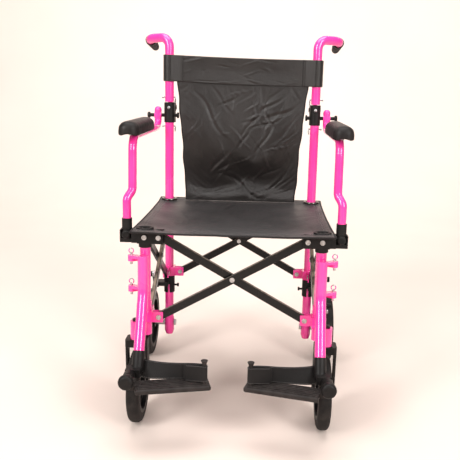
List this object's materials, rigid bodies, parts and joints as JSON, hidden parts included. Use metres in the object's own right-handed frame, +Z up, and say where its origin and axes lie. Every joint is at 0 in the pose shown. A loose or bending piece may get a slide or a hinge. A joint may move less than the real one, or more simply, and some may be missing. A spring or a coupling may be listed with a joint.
{
  "type": "transport wheelchair",
  "caption": "Folding attendant-pushed transport chair with sling seat and back, scissor frame, flip-up armrests, swing-away footrests and hand-lever parking brakes.",
  "frame": {"origin": "on the floor, at the centre of the chair's outline seen from above", "axes": "+Z up, -Y the way the sitter faces, +X to the right when looking along +Y"},
  "size_m": [0.583, 0.7462, 0.9529],
  "materials": {
    "frame_pink": "gloss",
    "bar_black": "satin",
    "black_plastic": "matte",
    "steel": "satin",
    "tyre_rubber": "matte",
    "rim_plastic": "satin",
    "grip_rubber": "matte",
    "pad_foam": "matte",
    "tread_plastic": "matte",
    "nylon": "woven"
  },
  "bodies": {
    "rear_left_leg": {"rear_post_l": "frame_pink", "rear_sleeve_l": "black_plastic", "rear_link_bracket_l": "frame_pink", "rear_axle_l": "steel", "hinge_block_l": "black_plastic", "back_sling": "nylon"},
    "rear_right_leg": {"rear_post_r": "frame_pink", "rear_sleeve_r": "black_plastic", "rear_link_bracket_r": "frame_pink", "rear_axle_r": "steel", "hinge_block_r": "black_plastic"},
    "front_left_leg": {"front_post_l": "frame_pink"},
    "front_right_leg": {"front_post_r": "frame_pink"},
    "rear_left_seat": {"rear_seat_bracket_l": "black_plastic", "seat_sling": "nylon"},
    "rear_right_seat": {"rear_seat_bracket_r": "black_plastic"},
    "front_left_seat": {"front_seat_bracket_l": "black_plastic"},
    "front_right_seat": {"front_seat_bracket_r": "black_plastic"},
    "rear_bar_a": {"rear_bar_a": "bar_black"},
    "rear_bar_b": {"rear_bar_b": "bar_black"},
    "front_bar_a": {"front_bar_a": "bar_black"},
    "front_bar_b": {"front_bar_b": "bar_black"},
    "left_bar_a": {"left_bar_a": "bar_black"},
    "left_bar_b": {"left_bar_b": "bar_black"},
    "right_bar_a": {"right_bar_a": "bar_black"},
    "right_bar_b": {"right_bar_b": "bar_black"},
    "back_frame_left": {"back_tube_l": "frame_pink", "grip_l": "grip_rubber"},
    "arm_rod_left": {"arm_rod_l": "black_plastic"},
    "armrest_left": {"armrest_tube_l": "frame_pink", "arm_pad_l": "pad_foam", "arm_foot_l": "black_plastic"},
    "rear_wheel_left": {"rear_rim_l": "rim_plastic", "rear_tyre_l": "tyre_rubber"},
    "brake_left": {"brake_lever_l": "steel"},
    "caster_left": {"caster_fork_l": "black_plastic"},
    "caster_wheel_left": {"caster_rim_l": "rim_plastic", "caster_tyre_l": "tyre_rubber"},
    "hanger_left": {"hanger_l": "frame_pink", "foot_sleeve_l": "black_plastic", "heel_strap_l": "nylon"},
    "plate_pivot_left": {"plate_pivot_l": "black_plastic"},
    "footplate_left": {"footplate_l": "tread_plastic"},
    "back_frame_right": {"back_tube_r": "frame_pink", "grip_r": "grip_rubber"},
    "arm_rod_right": {"arm_rod_r": "black_plastic"},
    "armrest_right": {"armrest_tube_r": "frame_pink", "arm_pad_r": "pad_foam", "arm_foot_r": "black_plastic"},
    "rear_wheel_right": {"rear_rim_r": "rim_plastic", "rear_tyre_r": "tyre_rubber"},
    "brake_right": {"brake_lever_r": "steel"},
    "caster_right": {"caster_fork_r": "black_plastic"},
    "caster_wheel_right": {"caster_rim_r": "rim_plastic", "caster_tyre_r": "tyre_rubber"},
    "hanger_right": {"hanger_r": "frame_pink", "foot_sleeve_r": "black_plastic", "heel_strap_r": "nylon"},
    "plate_pivot_right": {"plate_pivot_r": "black_plastic"},
    "footplate_right": {"footplate_r": "tread_plastic"}
  },
  "joints": [
    {"name": "frame_fold", "type": "hinge", "parent": "rear_left_leg", "child": "rear_bar_a", "pos_m": [-0.17434, 0.23121, 0.264], "axis": [0, -1, 0], "range_deg": [0, 45], "deforming": ["seat_sling", "back_sling"]},
    {"name": "rear_cross", "type": "hinge", "parent": "rear_bar_a", "child": "rear_bar_b", "pos_m": [0, 0.23121, 0.362], "axis": [0, -1, 0], "range_deg": [-90, 0]},
    {"name": "rear_right_foot", "type": "hinge", "parent": "rear_bar_b", "child": "rear_right_leg", "pos_m": [0.17434, 0.23121, 0.264], "axis": [0, -1, 0], "range_deg": [0, 45]},
    {"name": "rear_right_top", "type": "hinge", "parent": "rear_bar_a", "child": "rear_right_seat", "pos_m": [0.17434, 0.23121, 0.46], "axis": [0, -1, 0], "range_deg": [-45, 0]},
    {"name": "rear_left_top", "type": "hinge", "parent": "rear_bar_b", "child": "rear_left_seat", "pos_m": [-0.17434, 0.23121, 0.46], "axis": [0, -1, 0], "range_deg": [0, 45]},
    {"name": "left_side_low", "type": "hinge", "parent": "rear_left_leg", "child": "left_bar_a", "pos_m": [-0.208, 0.20055, 0.264], "axis": [-1, 0, 0], "range_deg": [0, 45]},
    {"name": "left_side_cross", "type": "hinge", "parent": "left_bar_a", "child": "left_bar_b", "pos_m": [-0.208, 0.02621, 0.362], "axis": [-1, 0, 0], "range_deg": [-90, 0]},
    {"name": "left_side_foot", "type": "hinge", "parent": "left_bar_b", "child": "front_left_leg", "pos_m": [-0.208, -0.14814, 0.264], "axis": [-1, 0, 0], "range_deg": [0, 45]},
    {"name": "left_side_top", "type": "hinge", "parent": "left_bar_a", "child": "front_left_seat", "pos_m": [-0.208, -0.14814, 0.46], "axis": [-1, 0, 0], "range_deg": [-45, 0]},
    {"name": "right_side_low", "type": "hinge", "parent": "rear_right_leg", "child": "right_bar_a", "pos_m": [0.208, 0.20055, 0.264], "axis": [-1, 0, 0], "range_deg": [0, 45]},
    {"name": "right_side_cross", "type": "hinge", "parent": "right_bar_a", "child": "right_bar_b", "pos_m": [0.208, 0.02621, 0.362], "axis": [-1, 0, 0], "range_deg": [-90, 0]},
    {"name": "right_side_foot", "type": "hinge", "parent": "right_bar_b", "child": "front_right_leg", "pos_m": [0.208, -0.14814, 0.264], "axis": [-1, 0, 0], "range_deg": [0, 45]},
    {"name": "right_side_top", "type": "hinge", "parent": "right_bar_a", "child": "front_right_seat", "pos_m": [0.208, -0.14814, 0.46], "axis": [-1, 0, 0], "range_deg": [-45, 0]},
    {"name": "front_left_low", "type": "hinge", "parent": "front_left_leg", "child": "front_bar_a", "pos_m": [-0.17434, -0.17879, 0.264], "axis": [0, -1, 0], "range_deg": [0, 45]},
    {"name": "front_right_low", "type": "hinge", "parent": "front_right_leg", "child": "front_bar_b", "pos_m": [0.17434, -0.17879, 0.264], "axis": [0, -1, 0], "range_deg": [-45, 0]},
    {"name": "back_fold", "type": "hinge", "parent": "rear_left_leg", "child": "back_frame_left", "pos_m": [-0.208, 0.25721, 0.747], "axis": [-1, 0, 0], "range_deg": [0, 175], "deforming": ["back_sling"]},
    {"name": "arm_rod_turn_left", "type": "hinge", "parent": "rear_left_leg", "child": "arm_rod_left", "pos_m": [-0.241, 0.23121, 0.725], "axis": [1, 0, 0], "range_deg": [-72, 0]},
    {"name": "armrest_flip_left", "type": "hinge", "parent": "arm_rod_left", "child": "armrest_left", "pos_m": [-0.241, 0.23121, 0.725], "axis": [1, 0, 0], "range_deg": [-75, 0]},
    {"name": "rear_wheel_spin_left", "type": "hinge", "parent": "rear_left_leg", "child": "rear_wheel_left", "pos_m": [-0.268, 0.23121, 0.1], "axis": [1, 0, 0], "continuous": true},
    {"name": "brake_left", "type": "hinge", "parent": "rear_left_leg", "child": "brake_left", "pos_m": [-0.2475, 0.20421, 0.228], "axis": [1, 0, 0], "range_deg": [0, 18]},
    {"name": "caster_swivel_left", "type": "hinge", "parent": "front_left_leg", "child": "caster_left", "pos_m": [-0.225, -0.20979, 0.25], "axis": [0, 0, 1], "continuous": true},
    {"name": "caster_wheel_spin_left", "type": "hinge", "parent": "caster_left", "child": "caster_wheel_left", "pos_m": [-0.225, -0.19479, 0.09], "axis": [1, 0, 0], "continuous": true},
    {"name": "hanger_swing_left", "type": "hinge", "parent": "front_left_leg", "child": "hanger_left", "pos_m": [-0.238, -0.19779, 0.37], "axis": [0, 0, -1], "range_deg": [0, 90]},
    {"name": "plate_pivot_turn_left", "type": "hinge", "parent": "hanger_left", "child": "plate_pivot_left", "pos_m": [-0.222, -0.33679, 0.169], "axis": [0, 1, 0], "range_deg": [-90, 0], "deforming": ["heel_strap_l"]},
    {"name": "footplate_flip_left", "type": "hinge", "parent": "plate_pivot_left", "child": "footplate_left", "pos_m": [-0.222, -0.33679, 0.169], "axis": [0, 1, 0], "range_deg": [-90, 0], "deforming": ["heel_strap_l"]},
    {"name": "back_fold_right", "type": "hinge", "parent": "rear_right_leg", "child": "back_frame_right", "pos_m": [0.208, 0.25721, 0.747], "axis": [-1, 0, 0], "range_deg": [0, 175]},
    {"name": "arm_rod_turn_right", "type": "hinge", "parent": "rear_right_leg", "child": "arm_rod_right", "pos_m": [0.241, 0.23121, 0.725], "axis": [1, 0, 0], "range_deg": [-72, 0]},
    {"name": "armrest_flip_right", "type": "hinge", "parent": "arm_rod_right", "child": "armrest_right", "pos_m": [0.241, 0.23121, 0.725], "axis": [1, 0, 0], "range_deg": [-75, 0]},
    {"name": "rear_wheel_spin_right", "type": "hinge", "parent": "rear_right_leg", "child": "rear_wheel_right", "pos_m": [0.268, 0.23121, 0.1], "axis": [1, 0, 0], "continuous": true},
    {"name": "brake_right", "type": "hinge", "parent": "rear_right_leg", "child": "brake_right", "pos_m": [0.2475, 0.20421, 0.228], "axis": [1, 0, 0], "range_deg": [0, 18]},
    {"name": "caster_swivel_right", "type": "hinge", "parent": "front_right_leg", "child": "caster_right", "pos_m": [0.225, -0.20979, 0.25], "axis": [0, 0, 1], "continuous": true},
    {"name": "caster_wheel_spin_right", "type": "hinge", "parent": "caster_right", "child": "caster_wheel_right", "pos_m": [0.225, -0.19479, 0.09], "axis": [1, 0, 0], "continuous": true},
    {"name": "hanger_swing_right", "type": "hinge", "parent": "front_right_leg", "child": "hanger_right", "pos_m": [0.238, -0.19779, 0.37], "axis": [0, 0, 1], "range_deg": [0, 90]},
    {"name": "plate_pivot_turn_right", "type": "hinge", "parent": "hanger_right", "child": "plate_pivot_right", "pos_m": [0.222, -0.33679, 0.169], "axis": [0, -1, 0], "range_deg": [-90, 0], "deforming": ["heel_strap_r"]},
    {"name": "footplate_flip_right", "type": "hinge", "parent": "plate_pivot_right", "child": "footplate_right", "pos_m": [0.222, -0.33679, 0.169], "axis": [0, -1, 0], "range_deg": [-90, 0], "deforming": ["heel_strap_r"]}
  ],
  "couplings": [
    {"joint": "rear_cross", "follows": "frame_fold", "ratio": -2},
    {"joint": "rear_right_foot", "follows": "frame_fold", "ratio": 1},
    {"joint": "rear_right_top", "follows": "frame_fold", "ratio": -1},
    {"joint": "rear_left_top", "follows": "frame_fold", "ratio": 1},
    {"joint": "left_side_low", "follows": "frame_fold", "ratio": 1},
    {"joint": "left_side_cross", "follows": "frame_fold", "ratio": -2},
    {"joint": "left_side_foot", "follows": "frame_fold", "ratio": 1},
    {"joint": "left_side_top", "follows": "frame_fold", "ratio": -1},
    {"joint": "right_side_low", "follows": "frame_fold", "ratio": 1},
    {"joint": "right_side_cross", "follows": "frame_fold", "ratio": -2},
    {"joint": "right_side_foot", "follows": "frame_fold", "ratio": 1},
    {"joint": "right_side_top", "follows": "frame_fold", "ratio": -1},
    {"joint": "front_left_low", "follows": "frame_fold", "ratio": 1},
    {"joint": "front_right_low", "follows": "frame_fold", "ratio": -1},
    {"joint": "arm_rod_turn_left", "follows": "frame_fold", "ratio": -1.6},
    {"joint": "plate_pivot_turn_left", "follows": "frame_fold", "ratio": -2},
    {"joint": "back_fold_right", "follows": "back_fold", "ratio": 1},
    {"joint": "arm_rod_turn_right", "follows": "frame_fold", "ratio": -1.6},
    {"joint": "plate_pivot_turn_right", "follows": "frame_fold", "ratio": -2}
  ]
}
